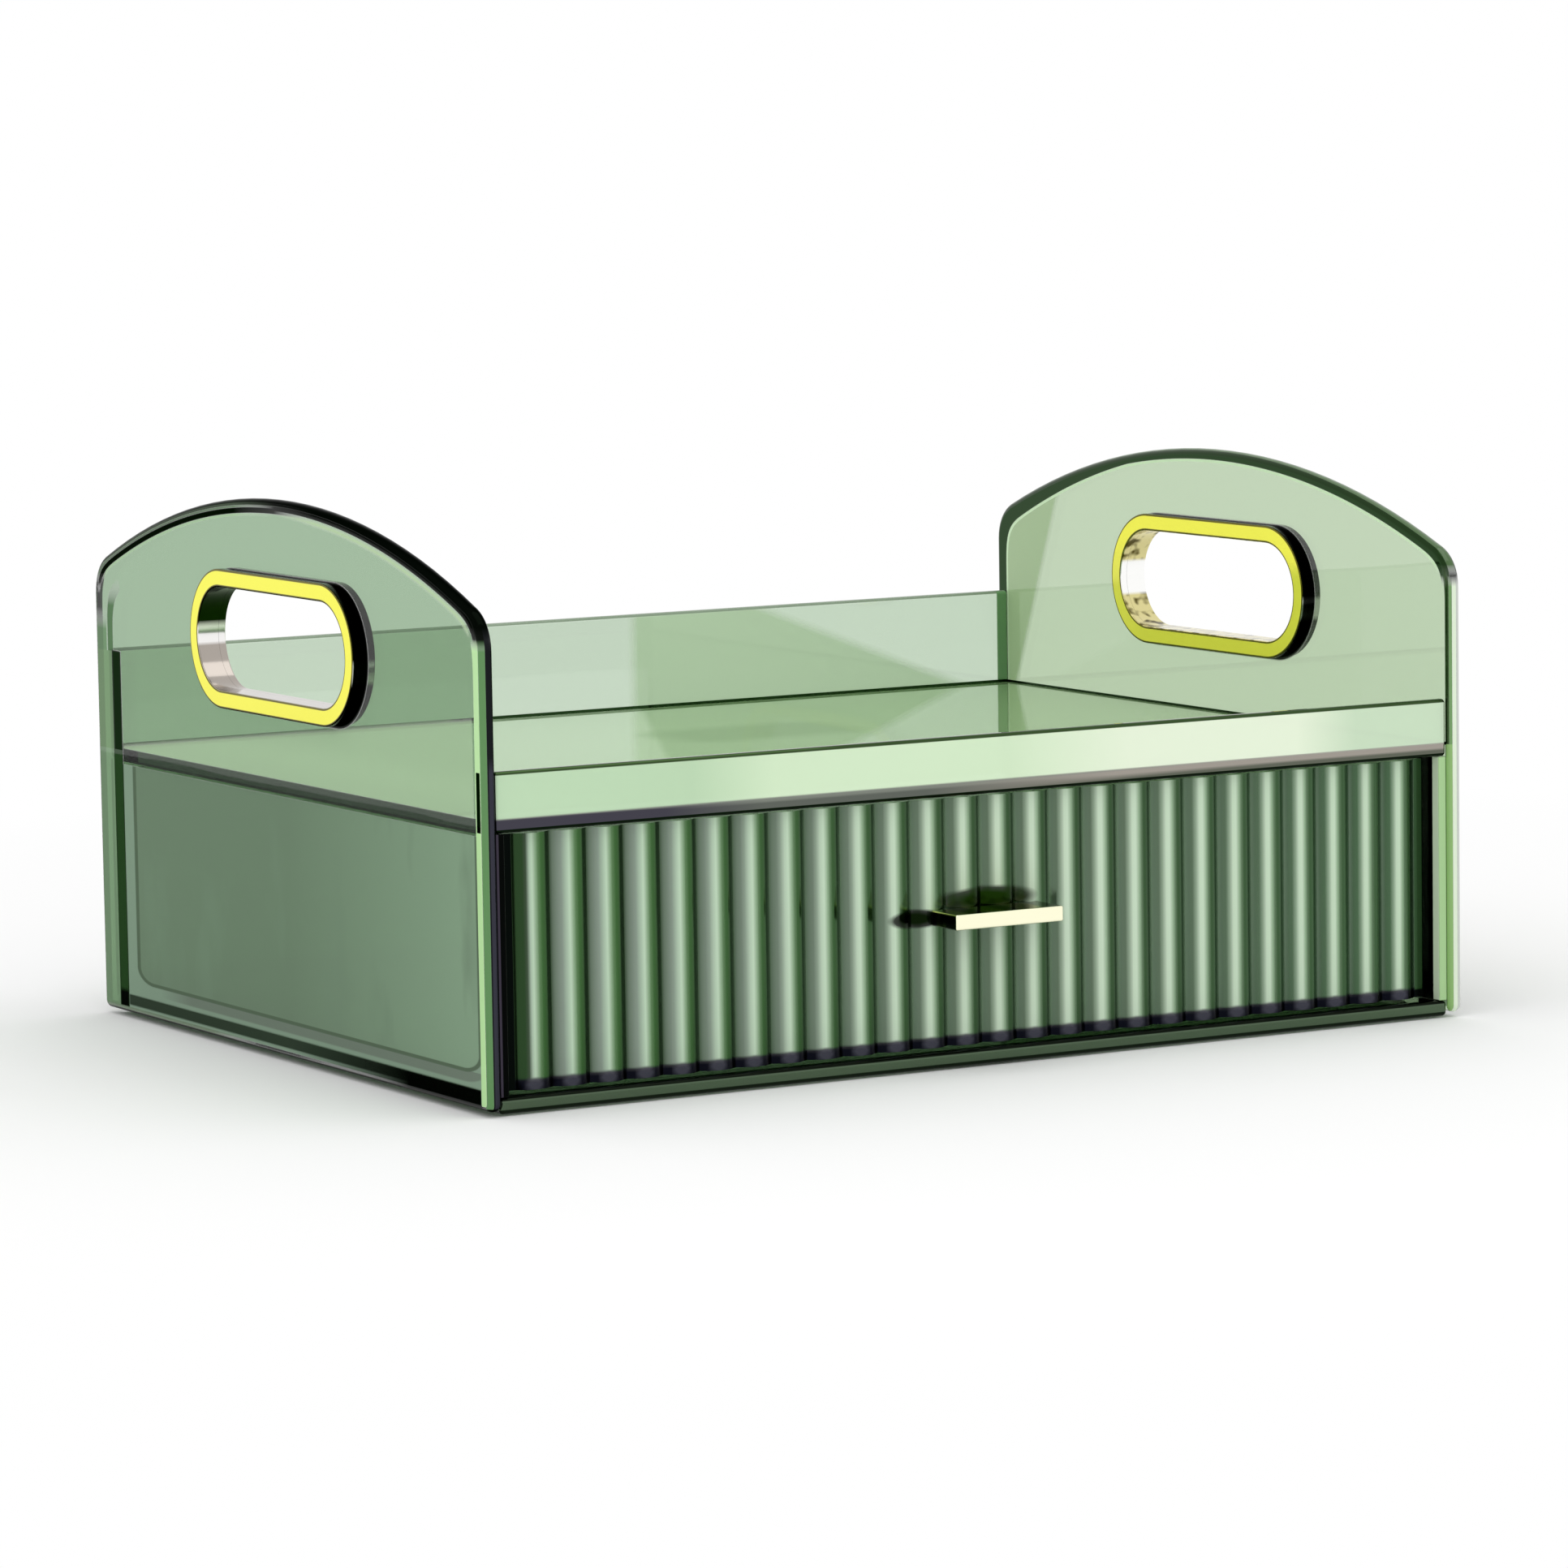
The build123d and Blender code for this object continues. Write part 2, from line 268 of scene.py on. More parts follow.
def clear_plastic(name, zones=(), absorbed=ABSORBED, ior=PLASTIC_IOR, glance=1.0):
    """Clear green plastic that lets lamplight through, with painted zones."""
    material, tree, output = new_material(name)
    shader = tree.nodes.new("ShaderNodeBsdfPrincipled")
    shader.inputs["IOR"].default_value = ior
    shader.inputs["Specular Tint"].default_value = (glance, glance, glance, 1.0)
    paint(tree, shader, zones, WHITE, 1.0 - HAZE)
    finish_plastic(tree, shader, output, CLEAR_ROUGHNESS, CLEAR_WAVE, absorbed)
    return material


def finish_plastic(tree, shader, output, roughness, wave, absorbed):
    """Uneven gloss, slight waves, a way through for lamplight, and absorption inside."""
    uneven = ranged(tree, noise(tree, GLOSS_GRAIN, 4.0), *roughness)
    tree.links.new(uneven, shader.inputs["Roughness"])
    waves = bump(tree, noise(tree, WAVE_GRAIN, 1.0), WAVE_HEIGHT, wave)
    tree.links.new(waves, shader.inputs["Normal"])
    passing = tree.nodes.new("ShaderNodeBsdfTransparent")
    passing.inputs["Color"].default_value = LAMPLIGHT_PASSED
    path = tree.nodes.new("ShaderNodeLightPath")
    surface = mixed_shaders(tree, path.outputs["Is Shadow Ray"], shader, passing)
    tree.links.new(surface, output.inputs["Surface"])
    volume = tree.nodes.new("ShaderNodeVolumeAbsorption")
    volume.inputs["Density"].default_value = ABSORB_DENSITY
    shares_left = (1.0 - taken / ABSORB_DENSITY for taken in absorbed)
    volume.inputs["Color"].default_value = (*shares_left, 1.0)
    tree.links.new(volume.outputs["Volume"], output.inputs["Volume"])


# Places on the pieces, in mm
def box_of(node):
    """Lowest and highest corner of a CAD piece at rest."""
    return [[value / MM for value in corner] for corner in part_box(node)]


PANEL_LOW, PANEL_HIGH = box_of("left_side_panel")
PANEL_FRONT, PANEL_BACK = PANEL_LOW[1], PANEL_HIGH[1]
PANEL_MIDDLE = (PANEL_FRONT + PANEL_BACK) / 2
PANEL_OUTER, PANEL_INNER = -PANEL_LOW[0], -PANEL_HIGH[0]
PANEL_FOOT = PANEL_LOW[2]
PANEL_THICKNESS = 4.2
CROWN_RISE = 25.1
ARCH_RADIUS = (((PANEL_BACK - PANEL_FRONT) / 2) ** 2 + CROWN_RISE ** 2) / (2 * CROWN_RISE)
ARCH_CENTRE_HEIGHT = PANEL_HIGH[2] - ARCH_RADIUS
SHOULDER_BLEND = 11.8  # rounds the corner where the arch meets an upright edge
UPRIGHT_TOP = 125.0  # height up to which the panels' edges are upright
FRONT_STRIP, BACK_STRIP = 7.0, 13.0  # width of what belongs to the upright edges
WALL_END_STRIP = (11.6, 17.2)  # painted shade behind the back wall's bond, where its end shows through dark: from and to, inside the outline
RIM_WIDTH = 2.1  # of the rounded edge all round, as seen on the face
SKIN = 0.03  # depth that still counts as the face itself
SHELF_BOTTOM, SHELF_TOP = box_of("tray_floor")[0][2], box_of("tray_floor")[1][2]
FENCE_TOP = box_of("tray_fence")[1][2]
PLATE_FRONT = box_of("tray_fence")[0][1]
BACK_WALL_TOP = box_of("tray_back_wall")[1][2]
BACK_WALL_FRONT = box_of("tray_back_wall")[0][1]
BAY_HALF = box_of("tray_floor")[1][0]
RING_BAND = 5.0
RING_LOW, RING_HIGH = box_of("left_ring_outer")
SLOT_HEIGHT = (RING_LOW[2] + RING_HIGH[2]) / 2
SLOT_OUTER = (RING_HIGH[2] - RING_LOW[2]) / 2  # from the slot's middle line to the ring's edge
SLOT_BORE = SLOT_OUTER - RING_BAND
SLOT_HALF_STRAIGHT = (RING_HIGH[1] - RING_LOW[1]) / 2 - SLOT_OUTER
WINDOW_FRONT, WINDOW_BACK = -112.0, 99.4  # the place on the lower side of the left panel painted with the shade of the drawer behind it
WINDOW_FOOT = 11.5
WINDOW_ROUND = 4.5
WINDOW_SQUEEZE = 0.45  # distances along the panel count less, so that upright bands are broader
WINDOW_REACH = 200.0  # further than any distance from the window's edge
LEFT_RING_SHADE, RIGHT_RING_SHADE = 4.6, 2.8  # how far ahead of a ring its shade lies
TRAY_SLOPE, TRAY_LIMIT = 0.1153, 91.8  # the tray's line, seen through the left panel
WEDGE_SLOPE, WEDGE_LIMIT = 0.414, 143.5  # the slanting line on the right panel
FOLD_SLOPE, FOLD_LIMIT = -0.486, -37.9  # the slanting line on the tray floor
MIRROR_SLOPE, MIRROR_LIMIT = 2.57, 338.5  # the slanting line on the back wall
PATCH_X, PATCH_Y, PATCH_SOFT = (-22.0, 48.0), (12.0, 62.0), 14.0  # soft patch of painted shade on the tray floor


def inside_outline(spot):
    """How far inside the arched outline of a side panel a point lies, in metres."""
    across = spot.calc("SUBTRACT", spot.y, PANEL_MIDDLE * MM)
    up = spot.calc("SUBTRACT", spot.z, ARCH_CENTRE_HEIGHT * MM)
    arch = spot.calc("SUBTRACT", ARCH_RADIUS * MM, spot.calc("SQRT", spot.squares(across, up)))
    front = spot.calc("SUBTRACT", spot.y, PANEL_FRONT * MM)
    back = spot.calc("SUBTRACT", PANEL_BACK * MM, spot.y)
    inside = spot.calc("SMOOTH_MIN", arch, front, SHOULDER_BLEND * MM)
    return spot.calc("SMOOTH_MIN", inside, back, SHOULDER_BLEND * MM)


def front_half(spot):
    return spot.below(spot.y, PANEL_MIDDLE, 25.0)


def upright_front(spot):
    """The upright front edge of a side panel."""
    return spot.all(spot.below(spot.y, PANEL_FRONT + FRONT_STRIP, 1.5),
                    spot.below(spot.z, UPRIGHT_TOP, 3.0))


def upright_back(spot):
    return spot.all(spot.above(spot.y, PANEL_BACK - BACK_STRIP, 0.5),
                    spot.below(spot.z, UPRIGHT_TOP, 3.0))


def stadium_distance(spot, ahead=0.0):
    """How far a point lies from the middle line of a hand slot, or of a slot moved ahead."""
    along = spot.calc("ABSOLUTE", spot.calc("SUBTRACT", spot.y, (PANEL_MIDDLE - ahead) * MM))
    along = spot.calc("MAXIMUM", spot.calc("SUBTRACT", along, SLOT_HALF_STRAIGHT * MM), 0.0)
    up = spot.calc("SUBTRACT", spot.z, SLOT_HEIGHT * MM)
    return spot.calc("SQRT", spot.squares(along, up))


# The side panels' seen faces: the left one's outer face and the right one's inner face
def rim(spot, depth, low, high):
    """The rounded edge all round a side panel, between two depths."""
    return spot.all(spot.below(inside_outline(spot), RIM_WIDTH),
                    spot.between(depth, low, high, SKIN))


def on_face(spot, depth):
    return spot.below(depth, SKIN, 0.02)


def face_strip(spot, depth, low, high, soft):
    """A strip of the face that follows the outline."""
    return spot.all(on_face(spot, depth), spot.between(inside_outline(spot), low, high, soft))


def left_depth(spot):
    return spot.calc("SUBTRACT", PANEL_OUTER * MM, spot.side)


def left_rim(spot, low=SKIN, high=PANEL_THICKNESS - SKIN):
    return rim(spot, left_depth(spot), low, high)


def on_left_face(spot):
    return on_face(spot, left_depth(spot))


def left_face(spot, low, high, soft=0.15):
    return face_strip(spot, left_depth(spot), low, high, soft)


def right_depth(spot):
    return spot.calc("SUBTRACT", spot.side, PANEL_INNER * MM)


def right_rim(spot, low=SKIN, high=PANEL_THICKNESS - SKIN):
    return rim(spot, right_depth(spot), low, high)


def on_right_face(spot):
    return on_face(spot, right_depth(spot))


def right_face(spot, low, high, soft=0.15):
    return face_strip(spot, right_depth(spot), low, high, soft)


def outside_window(spot):
    """Distance outside the rounded window in which the drawer shows through the side."""
    middle = (WINDOW_BACK + WINDOW_FRONT) / 2
    half = (WINDOW_BACK - WINDOW_FRONT) / 2
    across = spot.calc("ABSOLUTE", spot.calc("SUBTRACT", spot.y, middle * MM))
    across = spot.calc("SUBTRACT", across, half * MM)
    across = spot.calc("ADD", spot.calc("MULTIPLY", across, WINDOW_SQUEEZE), WINDOW_ROUND * MM)
    up = spot.calc("SUBTRACT", (WINDOW_FOOT + WINDOW_ROUND) * MM, spot.z)
    deepest = spot.calc("MINIMUM", spot.calc("MAXIMUM", across, up), 0.0)
    across = spot.calc("MAXIMUM", across, 0.0)
    up = spot.calc("MAXIMUM", up, 0.0)
    distance = spot.calc("ADD", spot.calc("SQRT", spot.squares(across, up)), deepest)
    return spot.calc("SUBTRACT", distance, WINDOW_ROUND * MM)


def lower_side(spot, low=-WINDOW_REACH, high=WINDOW_REACH, soft=0.3):
    """A part of the outer face below the shelf, by its distance outside the window."""
    place = spot.all(on_left_face(spot), spot.below(spot.z, SHELF_BOTTOM - 0.4, 0.2))
    return spot.all(place, spot.between(outside_window(spot), low, high, soft))


def left_zones():
    def arch(spot):
        return spot.no(spot.any(upright_front(spot), upright_back(spot)))

    def rear(spot):
        return spot.no(front_half(spot))

    def window(spot):
        return lower_side(spot, high=0.4)

    def cloudy(spot):
        clouds = noise(spot.tree, 26.0, 3.0, (1.0, 1.6, 0.7))
        return ranged(spot.tree, clouds, 0.0, 1.0, 0.40, 0.72)

    def rear_strip(spot, low, high, soft):
        return spot.all(left_face(spot, low, high, soft), spot.above(spot.y, PANEL_MIDDLE))

    def green_strip(spot):
        """Between the upright back edge and the bond of the back wall."""
        return spot.all(rear_strip(spot, 0.9, WALL_END_STRIP[0], 0.3),
                        spot.above(spot.y, PANEL_BACK - BACK_STRIP))

    def wall_end_shade(spot):
        return rear_strip(spot, *WALL_END_STRIP, 0.5)

    def tray_behind(spot):
        """Where the tray floor shows through the panel, painted lighter as painted light."""
        line = spot.slant(spot.z, spot.y, TRAY_SLOPE)
        return spot.all(spot.below(line, TRAY_LIMIT, 1.0),
                        spot.above(spot.z, SHELF_TOP + 0.4, 0.5),
                        spot.between(spot.y, PANEL_FRONT + 5.0, PANEL_BACK - 18.0, 0.5))

    def below_wall(spot):
        return spot.below(spot.z, BACK_WALL_TOP, 0.3)

    def behind_front_edge(spot):
        return spot.above(spot.y, PANEL_FRONT + 4.3)

    return [
        # the side below the shelf: nearly opaque painted shade in place of the drawer seen through
        # it, a little lighter towards the front as painted light, with random cloudiness
        (window, shaded(120, 142, 119), 0.25, 0.0),
        (lambda s: s.all(window(s), s.below(s.y, 0.0, 100.0)), shaded(136, 162, 136), 0.20, 0.0),
        (lambda s: s.all(window(s), cloudy(s)), shaded(124, 147, 124), 0.25, 0.0),
        (lambda s: lower_side(s, 0.0, 20.0, 0.4), matt_paint(140, 160, 142), 0.10, 0.0),
        (lambda s: s.all(lower_side(s, 0.0, 3.2, 0.4), s.below(s.z, WINDOW_FOOT),
                         s.below(s.y, 85.0, 20.0)), matt_paint(124, 136, 124), 0.1, 0.0),
        (lambda s: lower_side(s, -0.7, 0.6), shaded(88, 105, 86), 0.1, 0.0),
        # round the arch: painted shade and highlight stripes at the back that turn into a thick
        # painted black line in front
        (lambda s: s.all(left_rim(s), arch(s)), sheen(70, 84, 66), 0.0, 0.9),
        (lambda s: s.all(s.below(inside_outline(s), 1.0), arch(s)), sheen(24, 36, 22), 0.0, 1.0),
        (lambda s: s.all(left_face(s, 1.0, 2.4), rear(s), arch(s)), matt_paint(108, 128, 104), 0.2, 0.0),
        (lambda s: s.all(left_face(s, 2.4, 3.9), rear(s), arch(s)), sheen(6, 16, 4), 0.0, 1.0),
        (lambda s: s.all(left_face(s, 3.9, 4.8), rear(s), arch(s)), matt_paint(184, 210, 175), 0.5, 0.0),
        (lambda s: s.all(left_rim(s), front_half(s), arch(s)), sheen(6, 10, 6), 0.0, 1.0),
        (lambda s: s.all(left_face(s, 1.0, 3.0), front_half(s), arch(s)),
         sheen(6, 10, 6), 0.0, 1.0),
        (lambda s: s.all(left_face(s, 3.0, 5.2, 1.0), front_half(s), arch(s)),
         matt_paint(200, 222, 180), 0.45, 0.0),
        # upright front edge: a painted highlight, painted green and dark stripes, and the fence's
        # end painted dark where it shows through
        (lambda s: s.all(s.below(left_depth(s), 0.10, 0.03), s.below(inside_outline(s), 4.2),
                         upright_front(s)), matt_paint(190, 228, 170), 0.1, 0.0),
        (lambda s: s.all(left_rim(s, 0.10, 1.5), upright_front(s)), matt_paint(112, 150, 106), 0.1, 0.0),
        (lambda s: s.all(left_rim(s, 1.5, 4.2), upright_front(s)), sheen(28, 30, 32), 0.0, 1.0),
        (lambda s: s.all(left_rim(s, 1.9, 4.2), upright_front(s), s.below(s.z, FENCE_TOP, 4.0)),
         sheen(56, 56, 66), 0.0, 1.0),
        (lambda s: s.all(left_face(s, 1.0, 3.6), upright_front(s),
                         s.between(s.z, SHELF_BOTTOM + 0.5, FENCE_TOP)), sheen(2, 18, 2), 0.0, 1.0),
        # upright back edge: painted light green strips, the painted dark strip where the back
        # wall's end shows through, and a fainter one up to the arch
        (lambda s: s.all(rear_strip(s, 8.6, 12.8, 0.5), s.below(s.z, 127.0, 8.0),
                         s.above(s.y, PANEL_BACK - 18.0)), matt_paint(84, 116, 80), 0.3, 0.0),
        (lambda s: s.all(rear_strip(s, 0.9, 8.4, 0.3), upright_back(s), s.below(s.z, 118.0, 6.0)),
         matt_paint(114, 146, 110), 0.3, 0.0),
        (lambda s: s.all(green_strip(s), below_wall(s)), matt_paint(124, 154, 116), 0.3, 0.0),
        (lambda s: s.all(green_strip(s), s.below(s.z, SHELF_TOP)),
         shaded(128, 156, 124), 0.3, 0.0),
        (lambda s: s.all(wall_end_shade(s), below_wall(s)), sheen(24, 44, 22), 0.0, 1.0),
        (lambda s: s.all(wall_end_shade(s), s.below(s.z, SHELF_TOP)), shaded(36, 63, 32), 0.0, 0.0),
        (lambda s: s.all(wall_end_shade(s), s.below(s.z, 9.0, 1.5)), shaded(4, 7, 4), 0.0, 0.0),
        (lambda s: s.all(on_left_face(s), tray_behind(s)), matt_paint(201, 222, 191), 0.6, 0.0),
        (lambda s: s.all(s.below(inside_outline(s), 1.1, 0.2), upright_back(s)),
         sheen(62, 82, 60), 0.0, 1.0),
        # foot: painted dark bands and a black edge along the bottom, and a painted light line
        (lambda s: s.all(s.between(s.z, 3.9, 7.5, 0.5), behind_front_edge(s),
                         s.below(s.y, PANEL_BACK - 17.0, 1.0)), shaded(48, 60, 48), 0.0, 0.0),
        (lambda s: s.all(s.between(s.z, 2.0, 3.6, 0.3), s.above(s.y, 20.0, 30.0)),
         matt_paint(124, 140, 120), 0.1, 0.0),
        (lambda s: s.all(s.below(s.z, 7.2, 0.4), s.below(s.y, 0.0, 70.0), behind_front_edge(s)),
         shaded(2, 4, 2), 0.0, 0.0),
        (lambda s: s.below(s.z, PANEL_FOOT + 0.9, 0.2), sheen(4, 8, 4), 0.0, 1.0),
        # shade of the ring
        (lambda s: s.all(on_left_face(s),
                         s.below(stadium_distance(s, LEFT_RING_SHADE), SLOT_OUTER + 0.1, 0.5)),
         sheen(2, 6, 2), 0.0, 1.0),
    ]


def right_zones():
    def not_upright(spot):
        return spot.no(upright_front(spot))

    def past_band(spot):
        """Distance inward from the painted dark band along the outline, which is broader at the
        rear.
        """
        width = ranged(spot.tree, spot.y, 3.0 * MM, 5.8 * MM,
                       (PANEL_BACK - 75.0) * MM, (PANEL_BACK - 15.0) * MM)
        return spot.calc("SUBTRACT", inside_outline(spot), width)

    def rear_wedge(spot):
        """Behind a slanting line, where the tray's back is painted on the panel as its reflection.
        """
        return spot.above(spot.slant(spot.y, spot.z, WEDGE_SLOPE), WEDGE_LIMIT, 3.0)

    def band(spot, low, high):
        return spot.all(on_right_face(spot), spot.between(past_band(spot), low, high, 0.15),
                        not_upright(spot))

    # painted dark lines on the rim, the tray's painted reflection behind a slanting line, a painted
    # dark band along the outline and a painted light line inside it
    return [
        (lambda s: s.all(right_rim(s), not_upright(s)), matt_paint(84, 110, 74), 0.1, 0.0),
        (lambda s: s.all(right_rim(s, 0.0, 0.8), not_upright(s)), sheen(36, 58, 30), 0.0, 1.0),
        (lambda s: s.all(right_rim(s, 3.0, 4.2), not_upright(s)), sheen(34, 46, 30), 0.0, 1.0),
        (lambda s: s.all(on_right_face(s), rear_wedge(s)), matt_paint(171, 193, 154), 0.5, 0.0),
        (lambda s: band(s, -12.0, 0.0), sheen(34, 62, 28), 0.0, 1.0),
        (lambda s: band(s, 0.0, 1.0), matt_paint(212, 238, 200), 0.2, 0.0),
        # upright front edge: painted dark, green, bright and grey stripes, and painted light below
        # the shelf
        (lambda s: s.all(right_rim(s, 0.0, 0.40), upright_front(s)), sheen(58, 80, 48), 0.0, 1.0),
        (lambda s: s.all(right_rim(s, 0.40, 1.1), upright_front(s)),
         matt_paint(122, 160, 108), 0.1, 0.0),
        (lambda s: s.all(right_rim(s, 1.1, 2.4), upright_front(s)), matt_paint(226, 240, 216), 0.1, 0.0),
        (lambda s: s.all(right_rim(s, 2.4, 4.2), upright_front(s)), matt_paint(192, 198, 190), 0.0, 0.0),
        (lambda s: s.all(right_rim(s, 0.0, 1.1), upright_front(s), s.below(s.z, SHELF_TOP)),
         matt_paint(150, 190, 122), 0.1, 0.0),
        (lambda s: s.all(right_face(s, 2.0, 8.2), s.below(s.y, PANEL_FRONT + 9.0),
                         s.below(s.z, SHELF_BOTTOM)), matt_paint(200, 228, 190), 0.2, 0.0),
        # joint with the tray floor
        (lambda s: s.all(s.below(right_depth(s), 0.02, 0.01),
                         s.between(s.z, SHELF_TOP - 0.2, SHELF_TOP + 0.6)),
         sheen(40, 64, 32), 0.0, 1.0),
        # shade of the ring
        (lambda s: s.all(on_right_face(s),
                         s.below(stadium_distance(s, RIGHT_RING_SHADE), SLOT_OUTER + 0.1, 0.5)),
         sheen(4, 8, 4), 0.0, 1.0),
    ]


# Tray
def floor_zones():
    def top(spot):
        return spot.above(spot.z, SHELF_TOP - 0.3)

    def right_of_fold(spot):
        """Right of the slanting line where the mirrored right panel ends; painted shade darkens the
        floor there.
        """
        return spot.above(spot.slant(spot.x, spot.y, FOLD_SLOPE), FOLD_LIMIT, 3.0)

    def patch(spot):
        return spot.all(spot.between(spot.x, *PATCH_X, PATCH_SOFT),
                        spot.between(spot.y, *PATCH_Y, PATCH_SOFT))

    # painted light, shade and reflections: the top lighter at the left end, darker right of the
    # fold and in a soft patch, and dark at the ends
    return [
        (top, matt_paint(201, 226, 189), 0.3, 0.0),
        (lambda s: s.all(top(s), s.below(s.x, -96.0, 24.0)), matt_paint(230, 246, 220), 0.12, 0.0),
        (lambda s: s.all(top(s), right_of_fold(s)), matt_paint(170, 203, 152), 0.45, 0.0),
        (lambda s: s.all(top(s), patch(s)), matt_paint(132, 167, 114), 0.4, 0.0),
        (lambda s: s.above(s.side, BAY_HALF - 0.3), sheen(84, 82, 92), 0.0, 1.0),
    ]


def fence_zones():
    def face(spot):
        return spot.all(spot.below(spot.y, PLATE_FRONT + 0.3),
                        spot.above(spot.z, SHELF_TOP - 0.4, 0.4))

    def foot(spot):
        return spot.below(spot.z, SHELF_TOP + 0.2, 0.4)

    def right_part(spot):
        return spot.above(spot.x, 40.0, 60.0)

    # painted light on the milky face, lighter towards the right and a little darker at the far
    # right; the shelf's edge behind the foot painted as a grey band, lighter at the right and
    # purple-grey at the far left; painted dark lines at the bottom, the top and the ends
    return [
        (face, matt_paint(191, 217, 184), 0.12, 0.0),
        (lambda s: s.all(face(s), s.above(s.x, -92.0, 25.0)), matt_paint(213, 234, 202), 0.1, 0.0),
        (lambda s: s.all(face(s), s.above(s.x, 5.0, 40.0)), matt_paint(229, 240, 217), 0.06, 0.0),
        (lambda s: s.all(face(s), s.above(s.x, 100.0, 20.0)), matt_paint(201, 221, 194), 0.08, 0.0),
        (foot, sheen(126, 131, 122), 0.0, 1.0),
        (lambda s: s.below(s.z, SHELF_TOP - 1.0, 0.6), sheen(96, 101, 94), 0.0, 1.0),
        (lambda s: s.all(foot(s), right_part(s)), sheen(160, 154, 145), 0.0, 1.0),
        (lambda s: s.all(s.below(s.z, SHELF_TOP - 1.6, 0.7), right_part(s)),
         sheen(98, 102, 90), 0.0, 1.0),
        (lambda s: s.all(s.below(s.z, SHELF_TOP, 0.3), s.below(s.x, -100.0, 30.0)),
         sheen(68, 66, 76), 0.0, 1.0),
        (lambda s: s.below(s.z, SHELF_BOTTOM + 0.9, 0.15), sheen(10, 24, 8), 0.0, 1.0),
        (lambda s: s.above(s.z, FENCE_TOP - 0.9, 0.15), sheen(58, 80, 46), 0.0, 1.0),
        (lambda s: s.all(s.below(s.x, 0.0), s.above(s.side, BAY_HALF - 0.35, 0.1)),
         sheen(24, 34, 22), 0.0, 1.0),
        (lambda s: s.all(s.above(s.x, 0.0), s.above(s.side, BAY_HALF - 0.6, 0.1)),
         sheen(74, 96, 70), 0.0, 1.0),
    ]


def back_wall_zones():
    def face(spot):
        return spot.below(spot.y, BACK_WALL_FRONT + 0.5)

    def foot(spot):
        return spot.all(spot.below(spot.z, SHELF_TOP + 0.8, 0.1), face(spot))

    def mirrored_floor(spot):
        """Between an upright line and a slanting one, where the tray's reflection is painted on the
        wall.
        """
        line = spot.slant(spot.x, spot.z, MIRROR_SLOPE)
        return spot.all(spot.above(spot.x, 16.0, 4.0), spot.below(line, MIRROR_LIMIT, 9.0))

    # the tray's painted reflection, a painted grey line along the top, a painted dark band at the
    # right end, and painted shade along the foot, lighter on the left
    return [
        (lambda s: s.all(face(s), mirrored_floor(s)), matt_paint(198, 217, 189), 0.5, 0.0),
        (lambda s: s.above(s.z, BACK_WALL_TOP - 0.9, 0.15), matt_paint(134, 150, 130), 0.1, 0.0),
        (lambda s: s.all(s.above(s.x, BAY_HALF - 4.2, 0.3), face(s)),
         matt_paint(114, 154, 110), 0.0, 0.0),
        (foot, sheen(40, 66, 34), 0.0, 1.0),
        (lambda s: s.all(foot(s), s.below(s.x, -40.0, 3.0)), matt_paint(120, 150, 104), 0.0, 0.0),
    ]


# Base and casing
BASE_FRONT = box_of("base_plate")[0][1]
RIB_HEIGHT = 0.6
BASE_PLATE_TOP = box_of("base_plate")[1][2] - RIB_HEIGHT
GREY_END_SIDE = 149.9  # the left inner wall's front end is painted grey from here outwards
WALL_SHADE_FRONT, WALL_SHADE_BACK = -111.3, -104.0  # painted shade: a dark strip on the right inner wall


def base_zones():
    def lip(spot):
        return spot.below(spot.y, BASE_FRONT + 1.3)

    # painted shade on the ledge under the drawer front; the lip painted grey-green, with painted
    # dark lines at its top and bottom
    return [
        (lambda s: s.all(s.above(s.z, BASE_PLATE_TOP - 0.3), s.below(s.y, BASE_FRONT + 9.0)),
         sheen(10, 16, 10), 0.0, 1.0),
        (lip, sheen(80, 98, 76), 0.0, 0.9),
        (lambda s: s.all(lip(s), s.above(s.z, BASE_PLATE_TOP - 0.7, 0.15)),
         sheen(16, 22, 14), 0.0, 1.0),
        (lambda s: s.all(lip(s), s.below(s.z, 1.7, 0.2)), sheen(26, 36, 24), 0.0, 1.0),
    ]


def left_wall_zones():
    def front_end(spot):
        return spot.below(spot.y, PLATE_FRONT + 0.5)

    # painted shade: the front end black, and grey near the panel
    return [
        (front_end, sheen(8, 10, 9), 0.0, 1.0),
        (lambda s: s.all(front_end(s), s.above(s.side, GREY_END_SIDE)), sheen(60, 55, 66), 0.0, 1.0),
    ]


def right_wall_zones():
    # a painted shadow strip on the inner face, a painted light front part, and the front end
    # painted light green
    return [
        (lambda s: s.all(s.below(s.side, BAY_HALF - 2.3),
                         s.between(s.y, WALL_SHADE_FRONT, WALL_SHADE_BACK)),
         sheen(6, 12, 8), 0.0, 1.0),
        (lambda s: s.below(s.y, WALL_SHADE_FRONT), matt_paint(226, 244, 214), 0.1, 0.0),
        (lambda s: s.below(s.y, PLATE_FRONT + 0.3), matt_paint(172, 208, 152), 0.1, 0.0),
    ]


# Drawer front: the flutes' light and shade, painted as one run of seen shades across each flute,
# with how mirroring each shade is
FRONT_LOW, FRONT_HIGH = box_of("drawer_front")
HANDLE_LOW, HANDLE_HIGH = box_of("drawer_handle")
HANDLE_MIDDLE = (HANDLE_LOW[2] + HANDLE_HIGH[2]) / 2
HANDLE_FACE = HANDLE_LOW[1] + 0.35  # the bar's front face lies before this
CHEEK_FRONT, CHEEK_BACK = -118.0, -114.5  # the part of the bar's ends painted with the flutes' reflection
GLINTS = [  # painted glints on the bar: place along X, half the width, seen colour
    (-15.0, 1.8, (206, 206, 120)), (-4.0, 2.2, (196, 196, 92)), (7.5, 3.0, (196, 170, 84)),
]
FLUTE_COUNT = 26
FLUTE_MARGIN = 3.0
